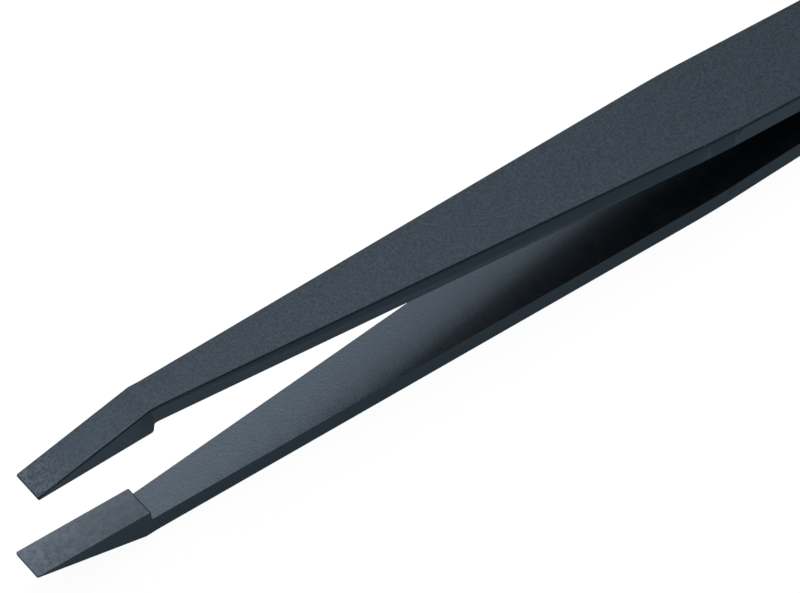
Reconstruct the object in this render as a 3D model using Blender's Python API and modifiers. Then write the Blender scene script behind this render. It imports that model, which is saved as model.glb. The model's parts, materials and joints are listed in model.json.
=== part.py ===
"""Flat-tipped precision tweezers, made of fibre-filled plastic.

Two identical flat arms lean towards each other, one of them turned over. A thin wedge
keeps their rear ends apart, and two compression rivets, each a post pressed into a socket,
clamp the stack and are ground flush. An arm has a bevelled tip with a raised gripping pad.
It bends just ahead of the wedge, where it is opened into a moving blade and a fixed root.

The lower arm lies flat on the ground. +X runs from the tips to the rear end and +Z is up.
The origin is on the ground, under the centre of the tweezers.
"""

import math

import bmesh
import bpy
from mathutils import Vector

MM = 0.001

# Arms: lengths are measured along an arm from its tip.
ARM_LENGTH = 115.0 * MM
ARM_THICKNESS = 2.07 * MM
BODY_WIDTH = 9.0 * MM
TIP_WIDTH = 3.16 * MM
TAPER_START = 12.35 * MM
TAPER_END = 71.1 * MM
TAPER_BLEND_RADIUS = 115.0 * MM
REAR_CORNER_RADIUS = 1.8 * MM
EDGE_CHAMFER = 0.16 * MM

# Tips
TIP_OPENING = 10.6 * MM
TIP_EDGE = 0.32 * MM
BEVEL_LENGTH = 11.15 * MM
PAD_LENGTH = 11.75 * MM
PAD_ANGLE = math.radians(4.8)
PAD_STEP = 1.13 * MM

# Rear joint: lengths are measured from the rear end.
REAR_GAP = 0.6 * MM
FLEX_FROM_REAR = 31.0 * MM
FLEX_GAP = 0.3 * MM
WEDGE_FRONT_FROM_REAR = 20.0 * MM
WEDGE_INSET = 0.25 * MM
FRONT_RIVET_FROM_REAR = 15.2 * MM
REAR_RIVET_FROM_REAR = 6.2 * MM

# Compression rivets
RIVET_HEAD_RADIUS = 2.0 * MM
RIVET_SOCKET_RADIUS = 1.3 * MM
RIVET_POST_RADIUS = 0.8 * MM
RIVET_HEAD_DEPTH = 0.7 * MM
RIVET_COLLAR = 0.25 * MM
RIVET_FLOOR = 1.0 * MM
RIVET_HOLE_CLEARANCE = 0.05 * MM
RIVET_FIT = 0.03 * MM
RIVET_END_GAP = 0.2 * MM
RIVET_FLUSH_GAP = 0.02 * MM

# Distance kept between pieces that rest on each other
SEAT_GAP = 0.03 * MM

# Curves, and how far cutting shapes reach past what they cut
ARC_STEPS = 12
TURN_STEPS = 64
CUT_MARGIN = 2.0 * MM
PLAN_REACH = 10 * ARM_THICKNESS

# How a face is told apart by its normal, as parts of that unit vector
SIDE_BELOW = 0.2
OUTER_ABOVE = 0.5
TIP_END_BELOW = -0.5

# Merging and shading
WELD = 0.001 * MM
FLAT = math.radians(0.05)
ARM_SMOOTH_BELOW = math.radians(5)
WEDGE_SMOOTH_BELOW = math.radians(20)
RIVET_SMOOTH_BELOW = math.radians(30)

# What follows from them. An arm's own frame has x from the tip to the rear end along its
# inner face, and z from that face outwards. The inner faces' planes meet at the apex.
TIP_DROP = PAD_STEP + PAD_LENGTH * math.tan(PAD_ANGLE)
ARM_LEAN = math.atan2(TIP_DROP, ARM_LENGTH) + math.asin(
    (TIP_OPENING - REAR_GAP) / 2 / math.hypot(ARM_LENGTH, TIP_DROP)
)
APEX = ARM_LENGTH + REAR_GAP / 2 / math.sin(ARM_LEAN)
FLEX = ARM_LENGTH - FLEX_FROM_REAR
TAPER_ANGLE = math.atan2((BODY_WIDTH - TIP_WIDTH) / 2, TAPER_END - TAPER_START)
UPPER_REAR_CORNER = (
    APEX
    - (APEX - ARM_LENGTH) * math.cos(2 * ARM_LEAN)
    + (ARM_THICKNESS - EDGE_CHAMFER) * math.sin(2 * ARM_LEAN)
)
ORIGIN = UPPER_REAR_CORNER / 2


def clear_scene():
    for obj in list(bpy.data.objects):
        bpy.data.objects.remove(obj, do_unlink=True)


def new_collection(name):
    collection = bpy.data.collections.new(name)
    bpy.context.scene.collection.children.link(collection)
    return collection


def new_material(name, color, roughness, metallic):
    material = bpy.data.materials.new(name)
    material.use_nodes = True
    shader = material.node_tree.nodes["Principled BSDF"]
    shader.inputs["Base Color"].default_value = (*color, 1.0)
    shader.inputs["Roughness"].default_value = roughness
    shader.inputs["Metallic"].default_value = metallic
    return material


def new_empty(name, location, rotation, collection):
    empty = bpy.data.objects.new(name, None)
    empty.location = location
    empty.rotation_euler = rotation
    collection.objects.link(empty)
    return empty


def new_object(name, mesh, collection, parent=None, location=(0, 0, 0)):
    obj = bpy.data.objects.new(name, mesh)
    obj.location = location
    obj.parent = parent
    collection.objects.link(obj)
    return obj


def hide_cutter(obj):
    obj.hide_render = True
    obj.display_type = "WIRE"
    return obj


def add_boolean(obj, operation, cutter):
    modifier = obj.modifiers.new(f"{operation.lower()}_{cutter.name}", "BOOLEAN")
    modifier.operation = operation
    modifier.object = cutter
    modifier.solver = "EXACT"


def baked(obj):
    """The object's mesh with its modifiers applied. The object is removed."""
    bpy.context.view_layer.update()
    evaluated = obj.evaluated_get(bpy.context.evaluated_depsgraph_get())
    mesh = bpy.data.meshes.new_from_object(evaluated)
    bpy.data.objects.remove(obj, do_unlink=True)
    return mesh


def arc(centre_x, centre_y, radius, start, end):
    """Points along an arc, both ends included. Angles are in radians."""
    return [
        (
            centre_x + radius * math.cos(start + (end - start) * i / ARC_STEPS),
            centre_y + radius * math.sin(start + (end - start) * i / ARC_STEPS),
        )
        for i in range(ARC_STEPS + 1)
    ]


def slab(name, outline, half_thickness, upright, collection):
    """A flat outline given thickness. It lies in XY, or stands in XZ if upright."""
    curve = bpy.data.curves.new(name, "CURVE")
    curve.dimensions = "2D"
    curve.fill_mode = "BOTH"
    curve.extrude = half_thickness
    spline = curve.splines.new("POLY")
    spline.points.add(len(outline) - 1)
    for point, (x, y) in zip(spline.points, outline):
        point.co = (x, y, 0.0, 1.0)
    spline.use_cyclic_u = True
    curve_object = new_object(f"{name}_curve", curve, collection)
    if upright:
        curve_object.rotation_euler = (math.pi / 2, 0.0, 0.0)
    bpy.context.view_layer.update()
    matrix = curve_object.matrix_world.copy()
    mesh = baked(curve_object)
    obj = new_object(name, mesh, collection)
    obj.matrix_world = matrix
    shape = bmesh.new()
    shape.from_mesh(mesh)
    bmesh.ops.remove_doubles(shape, verts=shape.verts, dist=WELD)
    bmesh.ops.recalc_face_normals(shape, faces=shape.faces)
    shape.to_mesh(mesh)
    shape.free()
    return obj


def crossed(name, side_outline, plan_outline, collection):
    """The mesh of the solid with this outline from the side and that one from above."""
    side = slab(f"{name}_side", side_outline, BODY_WIDTH, True, collection)
    plan = slab(f"{name}_plan", plan_outline, PLAN_REACH, False, collection)
    add_boolean(side, "INTERSECT", plan)
    bpy.context.view_layer.update()
    matrix = side.matrix_world.copy()
    mesh = baked(side)
    mesh.transform(matrix)
    bpy.data.objects.remove(plan, do_unlink=True)
    shape = bmesh.new()
    shape.from_mesh(mesh)
    bmesh.ops.remove_doubles(shape, verts=shape.verts, dist=WELD)
    bmesh.ops.dissolve_limit(
        shape, angle_limit=FLAT, verts=shape.verts, edges=shape.edges
    )
    shape.to_mesh(mesh)
    shape.free()
    return mesh


def arm_side_outline():
    """The arm seen from the side, past its rear end, which the plan outline cuts."""
    past_rear = ARM_LENGTH + CUT_MARGIN
    return [
        (0.0, -TIP_DROP),
        (PAD_LENGTH, -PAD_STEP),
        (PAD_LENGTH, 0.0),
        (past_rear, 0.0),
        (past_rear, ARM_THICKNESS),
        (BEVEL_LENGTH, ARM_THICKNESS),
        (0.0, TIP_EDGE - TIP_DROP),
    ]


def arm_plan_outline():
    """The arm seen from above, past its tip, which the side outline cuts."""
    tip, body, corner = TIP_WIDTH / 2, BODY_WIDTH / 2, REAR_CORNER_RADIUS
    blend_x = TAPER_END + TAPER_BLEND_RADIUS * math.tan(TAPER_ANGLE / 2)
    half = [(-CUT_MARGIN, tip), (TAPER_START, tip)]
    half += arc(
        blend_x,
        body - TAPER_BLEND_RADIUS,
        TAPER_BLEND_RADIUS,
        math.pi / 2 + TAPER_ANGLE,
        math.pi / 2,
    )
    half += arc(ARM_LENGTH - corner, body - corner, corner, math.pi / 2, 0.0)
    return [(x, -y) for x, y in half] + half[::-1]


def chamfer_outer_edges(mesh):
    """Cuts back the outer face's edges along both sides and the rear end, not at the tip."""
    shape = bmesh.new()
    shape.from_mesh(mesh)
    bmesh.ops.recalc_face_normals(shape, faces=shape.faces)
    edges = []
    for edge in shape.edges:
        side, outer = sorted((face.normal for face in edge.link_faces), key=lambda n: n.z)
        upright = abs(side.z) < SIDE_BELOW
        at_tip = side.x < TIP_END_BELOW
        if upright and not at_tip and outer.z > OUTER_ABOVE:
            edges.append(edge)
    bmesh.ops.bevel(
        shape,
        geom=edges,
        offset=EDGE_CHAMFER,
        offset_type="OFFSET",
        segments=1,
        affect="EDGES",
        clamp_overlap=True,
    )
    shape.to_mesh(mesh)
    shape.free()


def part_of_arm(arm, name, cut_x, keep_rear):
    """A copy of the arm's mesh on one side of cut_x, with its origin on the flex axis."""
    mesh = arm.copy()
    mesh.name = name
    shape = bmesh.new()
    shape.from_mesh(mesh)
    bmesh.ops.bisect_plane(
        shape,
        geom=[*shape.verts, *shape.edges, *shape.faces],
        dist=WELD,
        plane_co=(cut_x, 0.0, 0.0),
        plane_no=(-1.0 if keep_rear else 1.0, 0.0, 0.0),
        clear_outer=True,
    )
    open_edges = [edge for edge in shape.edges if edge.is_boundary]
    bmesh.ops.contextual_create(shape, geom=open_edges)
    bmesh.ops.recalc_face_normals(shape, faces=shape.faces)
    bmesh.ops.translate(
        shape, verts=shape.verts, vec=Vector((-FLEX, 0.0, -ARM_THICKNESS / 2))
    )
    shape.to_mesh(mesh)
    shape.free()
    return mesh


def turned(name, profile, parent, x, collection):
    """A round solid from its (radius, z) profile, with its axis at x in the mid plane."""
    mesh = bpy.data.meshes.new(name)
    points = [(radius, 0.0, z) for radius, z in profile]
    mesh.from_pydata(points, [(i, i + 1) for i in range(len(points) - 1)], [])
    obj = new_object(name, mesh, collection, parent, (x, 0.0, 0.0))
    screw = obj.modifiers.new("turn", "SCREW")
    screw.steps = TURN_STEPS
    screw.render_steps = TURN_STEPS
    screw.use_merge_vertices = True
    screw.merge_threshold = WELD
    return obj


def mid_x(from_rear):
    """Where a point this far from the rear end lies in the mid plane, from the apex."""
    return (ARM_LENGTH - from_rear - APEX) * math.cos(ARM_LEAN)


def half_stack(x):
    """Height of the outer face over the mid plane at x, measured from the apex."""
    return -x * math.tan(ARM_LEAN) + ARM_THICKNESS / math.cos(ARM_LEAN)


def rivet_cutter(name, x, mid_plane, cutters):
    """The hole through the whole stack, countersunk at both outer faces."""
    height = half_stack(x)
    head = RIVET_HEAD_RADIUS + RIVET_HOLE_CLEARANCE
    hole = RIVET_SOCKET_RADIUS + RIVET_HOLE_CLEARANCE
    neck = height - RIVET_HEAD_DEPTH
    profile = [
        (0.0, height + CUT_MARGIN),
        (head, height + CUT_MARGIN),
        (head, height),
        (hole, neck),
        (hole, -neck),
        (head, -height),
        (head, -height - CUT_MARGIN),
        (0.0, -height - CUT_MARGIN),
    ]
    return hide_cutter(turned(name, profile, mid_plane, x, cutters))


def rivet_post(name, x, mid_plane, parts):
    """The half with a solid shank, entered from the upper face."""
    height = half_stack(x)
    neck = height - RIVET_HEAD_DEPTH
    profile = [
        (0.0, height + CUT_MARGIN / 2),
        (RIVET_HEAD_RADIUS, height + CUT_MARGIN / 2),
        (RIVET_HEAD_RADIUS, height),
        (RIVET_SOCKET_RADIUS, neck),
        (RIVET_SOCKET_RADIUS, neck - RIVET_COLLAR),
        (RIVET_POST_RADIUS, neck - RIVET_COLLAR),
        (RIVET_POST_RADIUS, RIVET_FLOOR + RIVET_END_GAP - height),
        (0.0, RIVET_FLOOR + RIVET_END_GAP - height),
    ]
    return turned(name, profile, mid_plane, x, parts)


def rivet_socket(name, x, mid_plane, parts):
    """The half with a bore, entered from the lower face."""
    height = half_stack(x)
    neck = height - RIVET_HEAD_DEPTH
    bore = RIVET_POST_RADIUS + RIVET_FIT
    top = neck - RIVET_COLLAR - RIVET_END_GAP
    profile = [
        (0.0, RIVET_FLOOR - height),
        (bore, RIVET_FLOOR - height),
        (bore, top),
        (RIVET_SOCKET_RADIUS, top),
        (RIVET_SOCKET_RADIUS, -neck),
        (RIVET_HEAD_RADIUS, -height),
        (RIVET_HEAD_RADIUS, -height - CUT_MARGIN / 2),
        (0.0, -height - CUT_MARGIN / 2),
    ]
    return turned(name, profile, mid_plane, x, parts)


def grinding_envelope(mid_plane, cutters):
    """The space between the two outer faces, which the rivet heads are ground down to."""
    front = mid_x(FLEX_FROM_REAR)
    rear = mid_x(-CUT_MARGIN)
    top = [(x, half_stack(x) - RIVET_FLUSH_GAP) for x in (front, rear)]
    outline = [(x, -z) for x, z in top] + top[::-1]
    envelope = slab("grinding_envelope", outline, BODY_WIDTH, True, cutters)
    matrix = envelope.matrix_world.copy()
    envelope.data.transform(matrix)
    envelope.matrix_world.identity()
    envelope.parent = mid_plane
    return hide_cutter(envelope)


def wedge_mesh(collection):
    """The wedge between the arms' rear ends, flush with them but for a small inset."""
    front = mid_x(WEDGE_FRONT_FROM_REAR)
    rear = mid_x(WEDGE_INSET)
    side = BODY_WIDTH / 2 - WEDGE_INSET
    corner = REAR_CORNER_RADIUS - WEDGE_INSET
    past = CUT_MARGIN
    top = [
        (x, -x * math.tan(ARM_LEAN) - SEAT_GAP) for x in (front - past, rear + past)
    ]
    side_outline = [(x, -z) for x, z in top] + top[::-1]
    half = [(front, side), *arc(rear - corner, side - corner, corner, math.pi / 2, 0.0)]
    plan_outline = [(x, -y) for x, y in half] + half[::-1]
    return crossed("wedge_spacer", side_outline, plan_outline, collection)


def shade(obj, material, smooth_below):
    """Gives the material, and shades smooth the edges turning less than smooth_below."""
    obj.data.materials.clear()
    obj.data.materials.append(material)
    if obj.data.polygons:
        obj.data.shade_smooth()
        obj.data.set_sharp_from_angle(angle=smooth_below)


def build():
    clear_scene()
    parts = new_collection("precision_tweezers")
    cutters = new_collection("cutters")
    plastic = new_material("fibre_filled_plastic", (0.055, 0.07, 0.085), 0.55, 0.0)
    wedge_plastic = new_material("wedge_plastic", (0.03, 0.035, 0.04), 0.5, 0.0)
    steel = new_material("rivet_steel", (0.55, 0.55, 0.54), 0.35, 1.0)

    apex = Vector((APEX - ORIGIN, 0.0, ARM_THICKNESS))
    lower_side = new_empty("lower_side", apex, (math.pi, 0.0, 0.0), parts)
    mid_plane = new_empty("mid_plane", apex, (0.0, ARM_LEAN, 0.0), parts)
    upper_side = new_empty("upper_side", apex, (0.0, 2 * ARM_LEAN, 0.0), parts)

    arm = crossed("arm", arm_side_outline(), arm_plan_outline(), cutters)
    chamfer_outer_edges(arm)
    blade = part_of_arm(arm, "arm_blade", FLEX - FLEX_GAP / 2, False)
    root = part_of_arm(arm, "arm_root", FLEX + FLEX_GAP / 2, True)
    bpy.data.meshes.remove(arm)

    rivets = {
        "front": mid_x(FRONT_RIVET_FROM_REAR),
        "rear": mid_x(REAR_RIVET_FROM_REAR),
    }
    holes = [
        rivet_cutter(f"{name}_rivet_hole", x, mid_plane, cutters)
        for name, x in rivets.items()
    ]
    envelope = grinding_envelope(mid_plane, cutters)

    on_flex_axis = (FLEX - APEX, 0.0, ARM_THICKNESS / 2)
    for name, side in (("upper", upper_side), ("lower", lower_side)):
        moving = new_object(f"{name}_arm", blade, parts, side, on_flex_axis)
        shade(moving, plastic, ARM_SMOOTH_BELOW)
        fixed = new_object(f"{name}_arm_root", root.copy(), parts, side, on_flex_axis)
        shade(fixed, plastic, ARM_SMOOTH_BELOW)
        for hole in holes:
            add_boolean(fixed, "DIFFERENCE", hole)

    wedge = new_object("wedge_spacer", wedge_mesh(cutters), parts, mid_plane)
    shade(wedge, wedge_plastic, WEDGE_SMOOTH_BELOW)
    for hole in holes:
        add_boolean(wedge, "DIFFERENCE", hole)

    for name, x in rivets.items():
        for half in (
            rivet_post(f"{name}_rivet_post", x, mid_plane, parts),
            rivet_socket(f"{name}_rivet_socket", x, mid_plane, parts),
        ):
            add_boolean(half, "INTERSECT", envelope)
            shade(half, steel, RIVET_SMOOTH_BELOW)


build()
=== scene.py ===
"""The looks of the precision tweezers.

Each arm is one dark, fibre-filled moulding. Its outer face has the fine grain of an eroded
mould, its inner face and its edges are smoother. A wedge and two ground rivets hold the
rear ends. Every piece is refined from its frame nodes, and the arms are closed across the
gap where they flex.
"""

import json
import math

import bmesh
import bpy
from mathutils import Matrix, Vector


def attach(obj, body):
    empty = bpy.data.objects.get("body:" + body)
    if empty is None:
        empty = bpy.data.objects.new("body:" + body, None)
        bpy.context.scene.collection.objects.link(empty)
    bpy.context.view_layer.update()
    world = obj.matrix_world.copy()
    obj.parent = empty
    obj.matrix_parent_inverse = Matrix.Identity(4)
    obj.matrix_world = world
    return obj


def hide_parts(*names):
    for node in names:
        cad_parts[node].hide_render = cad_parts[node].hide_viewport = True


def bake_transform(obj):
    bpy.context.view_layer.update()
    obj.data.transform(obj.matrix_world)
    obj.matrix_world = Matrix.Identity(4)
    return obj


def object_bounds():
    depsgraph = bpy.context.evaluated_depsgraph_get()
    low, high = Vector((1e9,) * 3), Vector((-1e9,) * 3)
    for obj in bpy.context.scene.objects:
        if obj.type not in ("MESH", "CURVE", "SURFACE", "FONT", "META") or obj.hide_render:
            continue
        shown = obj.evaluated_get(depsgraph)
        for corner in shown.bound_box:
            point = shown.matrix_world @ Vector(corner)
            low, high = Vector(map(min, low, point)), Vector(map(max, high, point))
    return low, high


MM = 0.001

# Points closer than these are one point
WELD = 0.0005 * MM
SLIVER = 0.002 * MM

# Angles between faces: triangles of one flat face, and edges to round
FLAT = math.radians(0.05)
SHARP = math.radians(15)

# Cosines: how well a face or an edge keeps to a direction
SQUARE = math.cos(math.radians(1))
LEVEL = math.cos(math.radians(2))
FACING = math.cos(math.radians(8))
STEEP = math.cos(math.radians(30))
UPRIGHT = math.cos(math.radians(60))

# Roundings
ARM_EDGE_ROUND = 0.045 * MM
WEDGE_EDGE_ROUND = 0.08 * MM
RIVET_EDGE_ROUND = 0.03 * MM
TIP_CORNER_ROUND = 0.10 * MM
PAD_REAR_ROUND = 0.20 * MM
PAD_FOOT_FILLET = 0.20 * MM
PAD_SEGMENTS = 5
ROUND_SEGMENTS = 3
ROUND_PROFILE = 0.5
NORMAL_WEIGHT = 100

# The arm where it bends
ACROSS = Vector((0.0, 1.0, 0.0))
FLEX_GAP = 0.3 * MM
BEND_AHEAD = 11.0 * MM
BEND_BEHIND = 10.0 * MM
BEND_STEP = 0.5 * MM

# Plastic
PLASTIC_DARK = (0.0045, 0.0065, 0.0085)
PLASTIC_MIDDLE = (0.011, 0.0145, 0.018)
PLASTIC_PALE = (0.024, 0.031, 0.038)
# Painted light: a paler tone near the tip of the slope
TIP_PAINTED_LIGHT = (0.085, 0.096, 0.107)
# Painted light: a paler tone near the tip of the sides
EDGE_PAINTED_LIGHT = (0.050, 0.054, 0.058)
PAD_DARK = (0.034, 0.039, 0.044)
PAD_PALE = (0.078, 0.086, 0.095)
# Painted light: a paler tone near the tip of the pad
PAD_PAINTED_LIGHT = (0.125, 0.140, 0.155)
WEDGE_DARK = (0.004, 0.005, 0.006)
WEDGE_PALE = (0.010, 0.012, 0.014)
PLASTIC_GLOSS_TINT = (0.69, 0.845, 1.0)
PLASTIC_IOR = 1.5
# How far from the tip the painted light reaches, on the slope, the sides and the pad
TIP_PAINTED_LIGHT_LENGTH = 5.0 * MM
EDGE_PAINTED_LIGHT_LENGTH = 7.0 * MM
PAD_PAINTED_LIGHT_LENGTH = 9.0 * MM
MOULD_GRAIN = 0.24 * MM
DRAW_LINE_SCALE = (0.02, 1.0, 1.0)

# Steel
STEEL_DARK = (0.42, 0.41, 0.40)
STEEL_PALE = (0.58, 0.575, 0.565)
GRINDING_LINE_SCALE = (0.03, 1.0, 1.0)

# Sockets of a Mix node, which go by number because its kinds share their names
MIX_FACTOR = 0
MIX_VALUES = (2, 3)
MIX_COLORS = (6, 7)
MIX_VALUE_RESULT = 0
MIX_COLOR_RESULT = 2

# Studio, in metres
FLOOR_SIZE = 6.0
FLOOR_COLOR = (0.05, 0.05, 0.05)
FLOOR_SEEN = (0.96, 0.96, 0.96)
FLOOR_CAST = (0.25, 0.34, 0.40)
ROOM_SEEN = (1.0, 1.0, 1.0)
ROOM_CAST = (0.02, 0.028, 0.036)
LIGHT_COLOR = (0.96, 1.0, 1.05)
LIGHT_HEIGHT = 0.45
KEY_SOFTBOX = {"centre": (0.05, 0.12), "width": 0.22, "depth": 0.28, "radiance": 8.0}
BROAD_SOFTBOX = {"centre": (-0.10, 0.30), "width": 0.95, "depth": 0.95, "radiance": 1.2}

# Camera, with its lens and its sensor in millimetres, as Blender has them
CAMERA_TARGET = Vector((-13.92, 5.22, 0.0)) * MM
CAMERA_AZIMUTH = math.radians(-38.05)
CAMERA_ELEVATION = math.radians(53.38)
CAMERA_DISTANCE = 564.3 * MM
CAMERA_LENS = 291.75
CAMERA_SENSOR = 36.0
CAMERA_NEAR = 0.01
CAMERA_FAR = 10.0


def weld_and_flatten(shape):
    """Joins coincident points, and merges the triangles of each flat face."""
    bmesh.ops.remove_doubles(shape, verts=shape.verts, dist=WELD)
    bmesh.ops.dissolve_limit(
        shape, angle_limit=FLAT, verts=shape.verts, edges=shape.edges
    )


def remove_slivers(shape):
    """Merges points that lie too close together to matter."""
    bmesh.ops.remove_doubles(shape, verts=shape.verts, dist=SLIVER)
    bmesh.ops.dissolve_degenerate(shape, edges=shape.edges, dist=SLIVER)


def share_across(edge):
    """How far an edge runs across the arm's width: 1 if square across it, 0 if not at all."""
    start, end = edge.verts
    return abs((start.co - end.co).normalized().dot(ACROSS))


def round_edges(shape, edges, radius, segments=ROUND_SEGMENTS):
    """Rounds edges with this radius, or less where the shortest edges leave no room."""
    bmesh.ops.bevel(
        shape,
        geom=edges,
        offset=radius,
        offset_type="OFFSET",
        segments=segments,
        profile=ROUND_PROFILE,
        affect="EDGES",
        clamp_overlap=True,
    )


def soften_edges(shape, radius):
    """Rounds every edge that turns more than SHARP."""
    edges = [
        edge
        for edge in shape.edges
        if len(edge.link_faces) == 2 and edge.calc_face_angle() > SHARP
    ]
    round_edges(shape, edges, radius)


def round_tip_corners(shape):
    """Rounds the two short edges between the end of the tip and the sides."""
    end = min(shape.faces, key=lambda face: face.calc_center_median().x)
    corners = [edge for edge in end.edges if share_across(edge) < UPRIGHT]
    round_edges(shape, corners, TIP_CORNER_ROUND)


def pad_step(shape, along):
    """The square face at the rear of the gripping pad, between the arm's two ends."""
    across = [face for face in shape.faces if abs(face.normal.dot(along)) > SQUARE]
    across.sort(key=lambda face: face.calc_center_median().dot(along))
    return across[1]


def round_pad_step(shape, along):
    """Rounds the rear edge of the gripping pad, and fills the corner at its foot."""
    for convex, radius in ((True, PAD_REAR_ROUND), (False, PAD_FOOT_FILLET)):
        edges = [
            edge
            for edge in pad_step(shape, along).edges
            if share_across(edge) > SQUARE and edge.is_convex == convex
        ]
        round_edges(shape, edges, radius, PAD_SEGMENTS)


def close_flex_gap(shape, hinge, along):
    """Joins the blade to the root where they face each other across the hinge."""
    ends = [
        face
        for face in shape.faces
        if abs(face.normal.dot(along)) > FACING
        and abs((face.calc_center_median() - hinge).dot(along)) < FLEX_GAP
    ]
    rims = [edge for face in ends for edge in face.edges]
    bmesh.ops.delete(shape, geom=ends, context="FACES_ONLY")
    bmesh.ops.bridge_loops(shape, edges=rims)


def cut_bending_bands(shape, hinge, along):
    """Cuts the bending stretch into narrow bands, so that it bends smoothly."""
    bands = round((BEND_AHEAD + BEND_BEHIND) / BEND_STEP)
    for i in range(bands + 1):
        bmesh.ops.bisect_plane(
            shape,
            geom=[*shape.verts, *shape.edges, *shape.faces],
            dist=WELD,
            plane_co=hinge + along * (i * BEND_STEP - BEND_AHEAD),
            plane_no=along,
        )


def node_shape(*nodes):
    """The frame nodes' meshes together, with each flat face as one face."""
    shape = bmesh.new()
    for node in nodes:
        shape.from_mesh(frame["nodes"][node].data)
    weld_and_flatten(shape)
    return shape


def new_piece(name, shape):
    """A smooth-shaded object of a shape, whose flat faces still shade flat."""
    remove_slivers(shape)
    mesh = bpy.data.meshes.new(name)
    bmesh.ops.recalc_face_normals(shape, faces=shape.faces)
    shape.to_mesh(mesh)
    shape.free()
    mesh.shade_smooth()
    piece = bpy.data.objects.new(name, mesh)
    bpy.context.scene.collection.objects.link(piece)
    modifier = piece.modifiers.new("flat_faces", "WEIGHTED_NORMAL")
    modifier.keep_sharp = True
    modifier.weight = NORMAL_WEIGHT
    return piece


def refined(node, radius):
    """A copy of a frame node with its edges softened."""
    shape = node_shape(node)
    soften_edges(shape, radius)
    piece = new_piece(f"{node}_finished", shape)
    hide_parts(node)
    return piece


def arm_surface(normal, inward):
    """The surface that a face of an arm belongs to, by its tilt to the inner face."""
    outwards = -normal.dot(inward)
    if abs(outwards) < STEEP:
        return "edge"
    if outwards > 0:
        return "outer" if outwards > LEVEL else "slope"
    return "inner" if outwards < -LEVEL else "pad"


def arm_moulding(side, materials):
    """One whole arm, from the tip to the rear end, joined across its hinge and cut into narrow
    bands there.
    """
    joint = next(j for j in frame["joints"] if j["child"] == f"{side}_arm")
    hinge = Vector(joint["pos_m"])
    shape = node_shape(f"{side}_arm", f"{side}_arm_root")
    inner_face = max(shape.faces, key=lambda face: face.calc_area())
    inward = inner_face.normal.copy()
    along = ACROSS.cross(inward).normalized()
    if along.x < 0:
        along.negate()
    close_flex_gap(shape, hinge, along)
    weld_and_flatten(shape)
    round_pad_step(shape, along)
    round_tip_corners(shape)
    soften_edges(shape, ARM_EDGE_ROUND)
    cut_bending_bands(shape, hinge, along)
    piece = new_piece(f"{side}_arm_moulding", shape)
    for material in materials.values():
        piece.data.materials.append(material)
    surfaces = list(materials)
    for face in piece.data.polygons:
        face.material_index = surfaces.index(arm_surface(face.normal, inward))
    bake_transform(piece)
    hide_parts(f"{side}_arm", f"{side}_arm_root")


def opaque(color):
    """A colour with the fourth channel that Blender's sockets have."""
    return (*color, 1.0)


class Graph:
    """A material's node tree, with a short way to add nodes and links."""

    def __init__(self, name):
        self.material = bpy.data.materials.new(name)
        self.material.use_nodes = True
        self.tree = self.material.node_tree
        self.shader = self.tree.nodes["Principled BSDF"]
        coordinates = self.tree.nodes.new("ShaderNodeTexCoord")
        self.position = coordinates.outputs["Object"]

    def node(self, kind, inputs=None, **settings):
        """Adds a node, with its settings and with a value or a link for each input."""
        node = self.tree.nodes.new(f"ShaderNode{kind}")
        for key, value in settings.items():
            setattr(node, key, value)
        for key, value in (inputs or {}).items():
            self.feed(node.inputs[key], value)
        return node

    def feed(self, socket, value):
        """Links another socket to this one, or gives it a value of its own."""
        if isinstance(value, bpy.types.NodeSocket):
            self.tree.links.new(value, socket)
        else:
            socket.default_value = value

    def uniform(self, name, value):
        """Gives an input of the shader one value all over."""
        self.shader.inputs[name].default_value = value

    def color(self, value):
        self.feed(self.shader.inputs["Base Color"], value)

    def roughness(self, value):
        self.feed(self.shader.inputs["Roughness"], value)

    def relief(self, height, depth):
        """A relief that rises by this depth where height goes from 0 to 1."""
        bump = self.node("Bump", {"Height": height, "Distance": depth, "Strength": 1.0})
        self.feed(self.shader.inputs["Normal"], bump.outputs["Normal"])

    def scaled(self, scale):
        """The position with each axis scaled, which draws a noise out along the small ones."""
        node = self.node("Mapping", {"Vector": self.position, "Scale": scale})
        return node.outputs["Vector"]

    def noise(self, size, detail=2.0, roughness=0.5, vector=None):
        """Noise whose features are about size across, in metres."""
        inputs = {
            "Vector": vector or self.position,
            "Scale": 1 / size,
            "Detail": detail,
            "Roughness": roughness,
        }
        return self.node("TexNoise", inputs).outputs["Fac"]

    def ranged(self, value, source, target):
        """Maps one range of values to another, and holds at its ends."""
        inputs = {
            "Value": value,
            "From Min": source[0],
            "From Max": source[1],
            "To Min": target[0],
            "To Max": target[1],
        }
        return self.node("MapRange", inputs).outputs["Result"]

    def spread(self, noise, reach=0.2, target=(0.0, 1.0)):
        """Spreads a noise, from reach below its middle to reach above it, over a range."""
        return self.ranged(noise, (0.5 - reach, 0.5 + reach), target)

    def tip_light_ramp(self, length):
        """Where light is painted near the tip: 1 at the very tip, falling to 0 over this length.
        """
        place = self.node("SeparateXYZ", {"Vector": self.position}).outputs["X"]
        tip = cad_box[0][0]
        return self.ranged(place, (tip, tip + length), (1.0, 0.0))

    def mixed(self, value_a, value_b, share):
        """Two values, with this share of the second."""
        node = self.node("Mix", data_type="FLOAT")
        self.feed(node.inputs[MIX_FACTOR], share)
        for socket, value in zip(MIX_VALUES, (value_a, value_b)):
            self.feed(node.inputs[socket], value)
        return node.outputs[MIX_VALUE_RESULT]

    def blended(self, factor, color_a, color_b):
        """The first colour where factor is 0, and the second where it is 1."""
        node = self.node("Mix", data_type="RGBA")
        self.feed(node.inputs[MIX_FACTOR], factor)
        for socket, color in zip(MIX_COLORS, (color_a, color_b)):
            if isinstance(color, tuple):
                color = opaque(color)
            self.feed(node.inputs[socket], color)
        return node.outputs[MIX_COLOR_RESULT]


def plastic(name):
    """A material graph with the gloss that all the plastics share."""
    graph = Graph(name)
    graph.uniform("IOR", PLASTIC_IOR)
    graph.uniform("Specular Tint", opaque(PLASTIC_GLOSS_TINT))
    return graph


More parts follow.
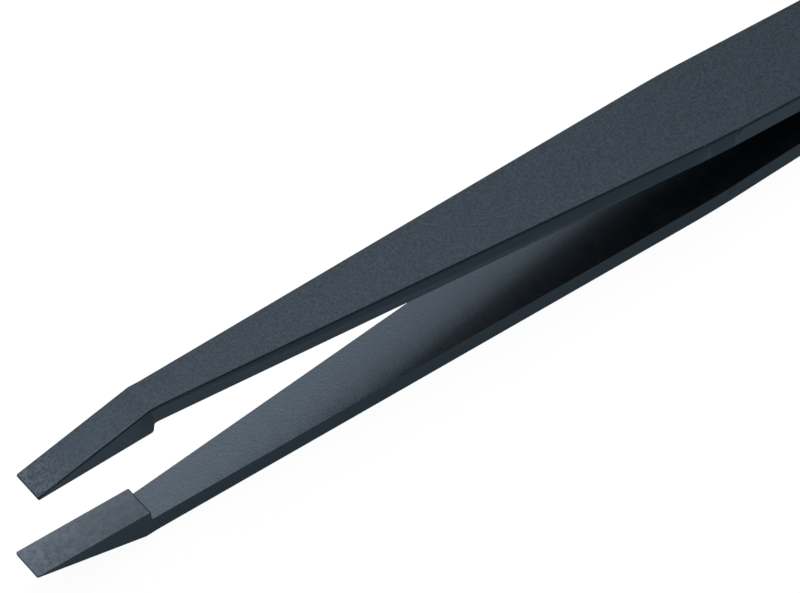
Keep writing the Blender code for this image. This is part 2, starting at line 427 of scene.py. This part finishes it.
def outer_plastic():
    """The outer face: a fine even grain of pits."""
    graph = plastic("outer_plastic")
    grain = graph.noise(MOULD_GRAIN, roughness=0.6)
    flow = graph.noise(9 * MM, detail=1.0)
    tone = graph.spread(grain, reach=0.16)
    graph.color(graph.blended(tone, PLASTIC_DARK, PLASTIC_PALE))
    graph.roughness(graph.spread(flow, target=(0.48, 0.53)))
    graph.relief(grain, depth=0.017 * MM)
    return graph.material


def tip_plastic():
    """The slope of the tip: the same grain, more mottled, and with painted light making it paler
    near its end.
    """
    graph = plastic("tip_plastic")
    grain = graph.noise(MOULD_GRAIN, roughness=0.6)
    mottle = graph.noise(0.55 * MM)
    height = graph.mixed(grain, mottle, share=0.4)
    tone = graph.spread(height, reach=0.10)
    # Painted light: paler towards the tip
    pale = graph.blended(graph.tip_light_ramp(TIP_PAINTED_LIGHT_LENGTH), PLASTIC_PALE, TIP_PAINTED_LIGHT)
    graph.color(graph.blended(tone, PLASTIC_DARK, pale))
    graph.roughness(graph.spread(mottle, target=(0.53, 0.62)))
    graph.relief(height, depth=0.026 * MM)
    return graph.material


def inner_plastic():
    """The inner face: nearly smooth, with faint clouding."""
    graph = plastic("inner_plastic")
    clouds = graph.noise(1.3 * MM, detail=3.0, roughness=0.6)
    grain = graph.noise(0.25 * MM)
    tone = graph.spread(graph.mixed(clouds, grain, share=0.5), reach=0.12)
    graph.color(graph.blended(tone, PLASTIC_DARK, PLASTIC_MIDDLE))
    graph.roughness(graph.spread(clouds, target=(0.29, 0.34)))
    graph.relief(grain, depth=0.008 * MM)
    return graph.material


def pad_plastic():
    """The gripping pad: matt, in soft pale patches, and with painted light making it paler near
    the tip.
    """
    graph = plastic("pad_plastic")
    patches = graph.noise(0.6 * MM, detail=3.0, roughness=0.6)
    grain = graph.noise(0.22 * MM)
    tone = graph.spread(graph.mixed(patches, grain, share=0.35), reach=0.14)
    # Painted light: paler towards the tip
    pale = graph.blended(graph.tip_light_ramp(PAD_PAINTED_LIGHT_LENGTH), PAD_PALE, PAD_PAINTED_LIGHT)
    graph.color(graph.blended(tone, PAD_DARK, pale))
    graph.roughness(graph.spread(patches, target=(0.40, 0.48)))
    graph.relief(grain, depth=0.012 * MM)
    return graph.material


def edge_plastic():
    """The sides, chamfers and ends: smooth, with faint draw lines, and with painted light making
    them paler at the tip.
    """
    graph = plastic("edge_plastic")
    lines = graph.noise(0.12 * MM, vector=graph.scaled(DRAW_LINE_SCALE))
    clouds = graph.noise(2.5 * MM)
    tone = graph.spread(clouds)
    # Painted light: paler towards the tip
    pale = graph.blended(graph.tip_light_ramp(EDGE_PAINTED_LIGHT_LENGTH), PLASTIC_MIDDLE, EDGE_PAINTED_LIGHT)
    graph.color(graph.blended(tone, PLASTIC_DARK, pale))
    graph.roughness(graph.spread(clouds, target=(0.40, 0.45)))
    graph.relief(lines, depth=0.003 * MM)
    return graph.material


def wedge_plastic():
    """The wedge: a plain dark plastic with a fine grain."""
    graph = plastic("wedge_plastic")
    grain = graph.noise(0.18 * MM, detail=3.0)
    tone = graph.spread(grain)
    graph.color(graph.blended(tone, WEDGE_DARK, WEDGE_PALE))
    graph.roughness(graph.spread(grain, target=(0.42, 0.5)))
    graph.relief(grain, depth=0.01 * MM)
    return graph.material


def ground_steel():
    """The rivets: ground flush along the arms, which leaves fine straight lines."""
    graph = Graph("ground_steel")
    graph.uniform("Metallic", 1.0)
    scaled = graph.scaled(GRINDING_LINE_SCALE)
    lines = graph.noise(0.06 * MM, detail=3.0, roughness=0.6, vector=scaled)
    stain = graph.noise(1.2 * MM, detail=3.0)
    tone = graph.spread(stain)
    graph.color(graph.blended(tone, STEEL_DARK, STEEL_PALE))
    graph.roughness(graph.spread(lines, target=(0.28, 0.42)))
    graph.relief(lines, depth=0.004 * MM)
    return graph.material


def dress_arms():
    """Both arms, with a different surface on each of their sides."""
    materials = {
        "outer": outer_plastic(),
        "slope": tip_plastic(),
        "inner": inner_plastic(),
        "pad": pad_plastic(),
        "edge": edge_plastic(),
    }
    for side in ("upper", "lower"):
        arm_moulding(side, materials)


def dress_rear_joint():
    """The wedge and the two rivets, which stay still together."""
    wedge = refined("wedge_spacer", WEDGE_EDGE_ROUND)
    wedge.data.materials.append(wedge_plastic())
    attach(wedge, "rear_joint")
    steel = ground_steel()
    for place in ("front", "rear"):
        for half in ("post", "socket"):
            rivet = refined(f"{place}_rivet_{half}", RIVET_EDGE_ROUND)
            rivet.data.materials.append(steel)
            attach(rivet, "rear_joint")


def studio_color(tree, seen, cast):
    """The colour that is looked straight at, and the one that lights the object."""
    path = tree.nodes.new("ShaderNodeLightPath")
    mix = tree.nodes.new("ShaderNodeMix")
    mix.data_type = "RGBA"
    for socket, color in zip(MIX_COLORS, (cast, seen)):
        mix.inputs[socket].default_value = opaque(color)
    tree.links.new(path.outputs["Is Camera Ray"], mix.inputs[MIX_FACTOR])
    return mix.outputs[MIX_COLOR_RESULT]


def add_floor():
    """A plain pale floor that glows by itself, so that it looks even all over."""
    mesh = bpy.data.meshes.new("floor")
    shape = bmesh.new()
    bmesh.ops.create_grid(shape, x_segments=1, y_segments=1, size=FLOOR_SIZE / 2)
    shape.to_mesh(mesh)
    shape.free()
    floor = bpy.data.objects.new("floor", mesh)
    bpy.context.scene.collection.objects.link(floor)
    graph = Graph("pale_floor")
    graph.uniform("Base Color", opaque(FLOOR_COLOR))
    graph.uniform("Roughness", 1.0)
    graph.uniform("Specular IOR Level", 0.0)
    graph.uniform("Emission Strength", 1.0)
    glow = studio_color(graph.tree, FLOOR_SEEN, FLOOR_CAST)
    graph.feed(graph.shader.inputs["Emission Color"], glow)
    mesh.materials.append(graph.material)


def add_softbox(name, centre, width, depth, radiance):
    """A soft light facing straight down, with its centre over this point of the ground."""
    light = bpy.data.lights.new(name, "AREA")
    light.shape = "RECTANGLE"
    light.size = width
    light.size_y = depth
    light.color = LIGHT_COLOR
    light.energy = radiance * math.pi * width * depth
    lamp = bpy.data.objects.new(name, light)
    lamp.location = (*centre, LIGHT_HEIGHT)
    lamp.visible_camera = False
    bpy.context.scene.collection.objects.link(lamp)


def add_lights():
    """A small bright softbox behind the arms, inside a broad weak one, in a dark room."""
    world = bpy.data.worlds.new("studio")
    world.use_nodes = True
    color = studio_color(world.node_tree, ROOM_SEEN, ROOM_CAST)
    background = world.node_tree.nodes["Background"]
    background.inputs["Strength"].default_value = 1.0
    world.node_tree.links.new(color, background.inputs["Color"])
    bpy.context.scene.world = world
    add_softbox("key_softbox", **KEY_SOFTBOX)
    add_softbox("broad_softbox", **BROAD_SOFTBOX)


def add_camera():
    """A long lens that looks down on the front half of the arms."""
    camera = bpy.data.cameras.new("camera")
    camera.sensor_width = CAMERA_SENSOR
    camera.lens = CAMERA_LENS
    camera.clip_start = CAMERA_NEAR
    camera.clip_end = CAMERA_FAR
    back = Vector(
        (
            math.sin(CAMERA_AZIMUTH) * math.cos(CAMERA_ELEVATION),
            -math.cos(CAMERA_AZIMUTH) * math.cos(CAMERA_ELEVATION),
            math.sin(CAMERA_ELEVATION),
        )
    )
    holder = bpy.data.objects.new("camera", camera)
    holder.location = CAMERA_TARGET + back * CAMERA_DISTANCE
    holder.rotation_mode = "QUATERNION"
    holder.rotation_quaternion = (-back).to_track_quat("-Z", "Y")
    bpy.context.scene.collection.objects.link(holder)
    bpy.context.scene.camera = holder
    bpy.context.scene.view_settings.view_transform = "Standard"


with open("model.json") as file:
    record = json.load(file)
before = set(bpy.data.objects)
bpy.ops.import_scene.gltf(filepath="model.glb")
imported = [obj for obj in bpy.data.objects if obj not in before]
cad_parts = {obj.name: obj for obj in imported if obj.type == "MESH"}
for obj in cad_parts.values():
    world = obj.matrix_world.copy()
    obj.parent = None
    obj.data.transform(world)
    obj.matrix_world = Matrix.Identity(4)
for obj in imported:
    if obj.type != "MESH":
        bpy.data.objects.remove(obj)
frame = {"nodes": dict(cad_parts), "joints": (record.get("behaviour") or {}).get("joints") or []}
cad_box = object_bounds()

dress_arms()
dress_rear_joint()
add_floor()
add_lights()
add_camera()
